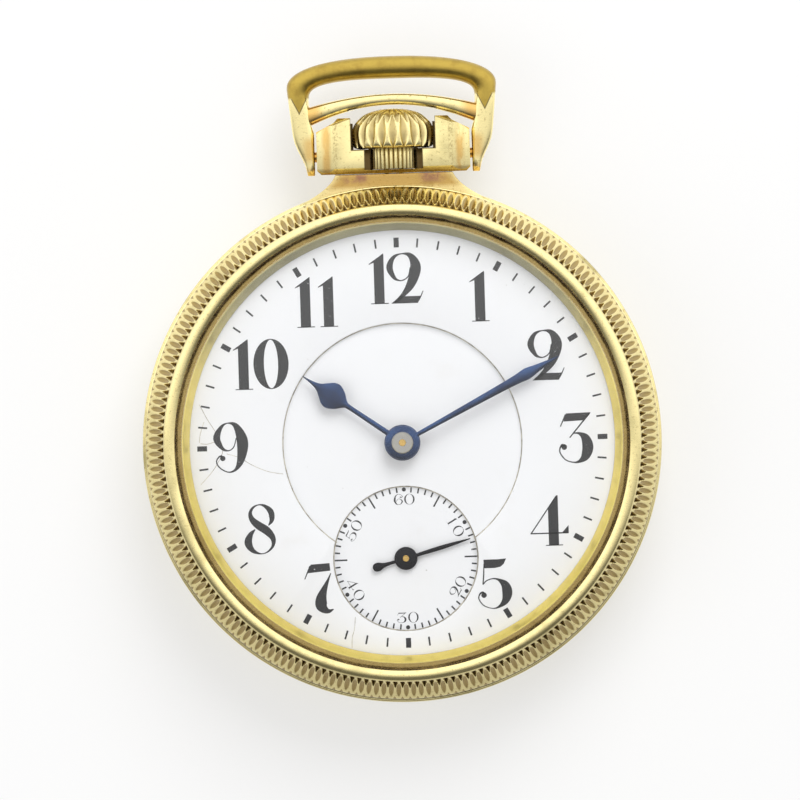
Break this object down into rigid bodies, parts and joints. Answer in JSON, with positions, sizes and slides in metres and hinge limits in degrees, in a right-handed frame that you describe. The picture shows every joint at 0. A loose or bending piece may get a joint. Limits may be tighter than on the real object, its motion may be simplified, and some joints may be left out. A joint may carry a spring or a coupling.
{
  "type": "open face pocket watch",
  "caption": "Open face pocket watch with a milled bezel, stirrup bow, fluted crown, double-sunk enamel dial, spade hands and a keyless lever movement inside.",
  "frame": {"origin": "centre of the flat on the case back, with the watch lying face up", "axes": "+Z out of the dial, +Y to the pendant at twelve o'clock, +X to three o'clock"},
  "size_m": [0.0506, 0.0633, 0.0133],
  "materials": {
    "gold_case": "polished yellow gold filled, worn",
    "steel_work": "polished steel",
    "brass_work": "brushed gilt brass",
    "blued_steel": "heat blued steel",
    "nickel_bridge": "striped nickel",
    "white_enamel": "glossy vitreous enamel",
    "copper_foot": "bare copper",
    "crystal_glass": "clear polished glass",
    "ruby": "polished ruby"
  },
  "bodies": {
    "case": {"case_center": "gold_case", "pendant": "gold_case", "pendant_sleeve": "gold_case", "bow_pin_left": "steel_work", "bow_pin_right": "steel_work", "crown_wheel_screw": "steel_work", "click_screw": "steel_work", "click_spring": "steel_work", "barrel_bridge_screw_1": "steel_work", "barrel_bridge_screw_2": "steel_work", "barrel_bridge_screw_3": "steel_work", "train_bridge_screw_1": "steel_work", "train_bridge_screw_2": "steel_work", "train_bridge_screw_3": "steel_work", "balance_cock_screw_1": "steel_work", "case_screw_1": "steel_work", "case_screw_2": "steel_work", "main_plate": "brass_work", "hairspring": "blued_steel", "barrel_bridge": "nickel_bridge", "train_bridge": "nickel_bridge", "balance_cock": "nickel_bridge", "pallet_cock": "nickel_bridge", "dial_ring": "white_enamel", "dial_center": "white_enamel", "dial_seconds": "white_enamel", "dial_foot_1": "copper_foot", "dial_foot_2": "copper_foot", "dial_foot_3": "copper_foot", "balance_jewel": "ruby"},
    "bezel": {"bezel": "gold_case", "crystal": "crystal_glass"},
    "back": {"case_back": "gold_case"},
    "bow": {"bow": "gold_case"},
    "crown": {"crown": "gold_case", "stem": "steel_work", "winding_pinion": "steel_work", "clutch": "steel_work"},
    "crown_wheel": {"crown_wheel": "steel_work"},
    "ratchet": {"ratchet_wheel": "steel_work", "barrel_arbor": "steel_work"},
    "click": {"click": "steel_work"},
    "barrel": {"barrel": "brass_work", "barrel_cover": "brass_work", "mainspring": "steel_work"},
    "center_wheel": {"center_wheel": "brass_work", "cannon_pinion": "steel_work", "minute_hand": "blued_steel", "hand_collet": "steel_work"},
    "third_wheel": {"third_wheel": "brass_work"},
    "fourth_wheel": {"fourth_wheel": "brass_work", "seconds_hand": "blued_steel"},
    "escape_wheel": {"escape_wheel": "steel_work"},
    "pallet_fork": {"pallet_fork": "steel_work"},
    "balance": {"balance_wheel": "brass_work", "balance_staff": "steel_work"},
    "regulator": {"regulator": "steel_work"},
    "minute_wheel": {"minute_wheel": "brass_work"},
    "hour_wheel": {"hour_wheel": "brass_work", "hour_hand": "blued_steel"}
  },
  "joints": [
    {"name": "seconds_hand_turn", "type": "hinge", "parent": "case", "child": "fourth_wheel", "pos_m": [0, -0.01125, 0.0064], "axis": [0, 0, -1], "continuous": true},
    {"name": "escape_wheel_turn", "type": "hinge", "parent": "case", "child": "escape_wheel", "pos_m": [-0.00495, -0.00839, 0.0061], "axis": [0, 0, -1], "continuous": true},
    {"name": "third_wheel_turn", "type": "hinge", "parent": "case", "child": "third_wheel", "pos_m": [0.00292, -0.00558, 0.0049], "axis": [0, 0, -1], "continuous": true},
    {"name": "minute_hand_turn", "type": "hinge", "parent": "case", "child": "center_wheel", "pos_m": [0, 0, 0.0045], "axis": [0, 0, -1], "continuous": true},
    {"name": "minute_wheel_turn", "type": "hinge", "parent": "case", "child": "minute_wheel", "pos_m": [-0.00353, 0.00204, 0.0083], "axis": [0, 0, -1], "continuous": true},
    {"name": "hour_hand_turn", "type": "hinge", "parent": "case", "child": "hour_wheel", "pos_m": [0, 0, 0.0086], "axis": [0, 0, -1], "continuous": true},
    {"name": "barrel_turn", "type": "hinge", "parent": "case", "child": "barrel", "pos_m": [0.00428, 0.0074, 0.0055], "axis": [0, 0, -1], "continuous": true},
    {"name": "pallet_fork_swing", "type": "hinge", "parent": "case", "child": "pallet_fork", "pos_m": [-0.00824, -0.00561, 0.0061], "axis": [0, 0, 1], "range_deg": [-5, 5]},
    {"name": "balance_swing", "type": "hinge", "parent": "case", "child": "balance", "pos_m": [-0.01231, -0.00217, 0.0051], "axis": [0, 0, 1], "range_deg": [-220, 220]},
    {"name": "regulator_swing", "type": "hinge", "parent": "case", "child": "regulator", "pos_m": [-0.01231, -0.00217, 0.0031], "axis": [0, 0, 1], "range_deg": [-12, 12]},
    {"name": "crown_turn", "type": "hinge", "parent": "case", "child": "crown", "pos_m": [0, 0.02865, 0.0055], "axis": [0, -1, 0], "continuous": true},
    {"name": "crown_wheel_turn", "type": "hinge", "parent": "case", "child": "crown_wheel", "pos_m": [0, 0.01393, 0.0029], "axis": [0, 0, -1], "continuous": true},
    {"name": "ratchet_wheel_turn", "type": "hinge", "parent": "case", "child": "ratchet", "pos_m": [0.00428, 0.0074, 0.0055], "axis": [0, 0, -1], "continuous": true},
    {"name": "click_lift", "type": "hinge", "parent": "case", "child": "click", "pos_m": [0.0101, 0.00528, 0.0029], "axis": [0, 0, -1], "range_deg": [0, 12]},
    {"name": "bow_swing", "type": "hinge", "parent": "case", "child": "bow", "pos_m": [0, 0.028, 0.0055], "axis": [1, 0, 0], "range_deg": [-90, 90]},
    {"name": "bezel_lift", "type": "slide", "parent": "case", "child": "bezel", "axis": [0, 0, 1], "range_m": [0, 0.012]},
    {"name": "back_lift", "type": "slide", "parent": "case", "child": "back", "axis": [0, 0, -1], "range_m": [0, 0.012]}
  ],
  "couplings": [
    {"joint": "escape_wheel_turn", "follows": "seconds_hand_turn", "ratio": -10},
    {"joint": "third_wheel_turn", "follows": "seconds_hand_turn", "ratio": -0.13333},
    {"joint": "minute_hand_turn", "follows": "seconds_hand_turn", "ratio": 0.016667},
    {"joint": "minute_wheel_turn", "follows": "seconds_hand_turn", "ratio": -0.0055556},
    {"joint": "hour_hand_turn", "follows": "seconds_hand_turn", "ratio": 0.0013889},
    {"joint": "barrel_turn", "follows": "seconds_hand_turn", "ratio": -0.0020833},
    {"joint": "crown_wheel_turn", "follows": "crown_turn", "ratio": 0.73077},
    {"joint": "ratchet_wheel_turn", "follows": "crown_turn", "ratio": -0.55882}
  ]
}
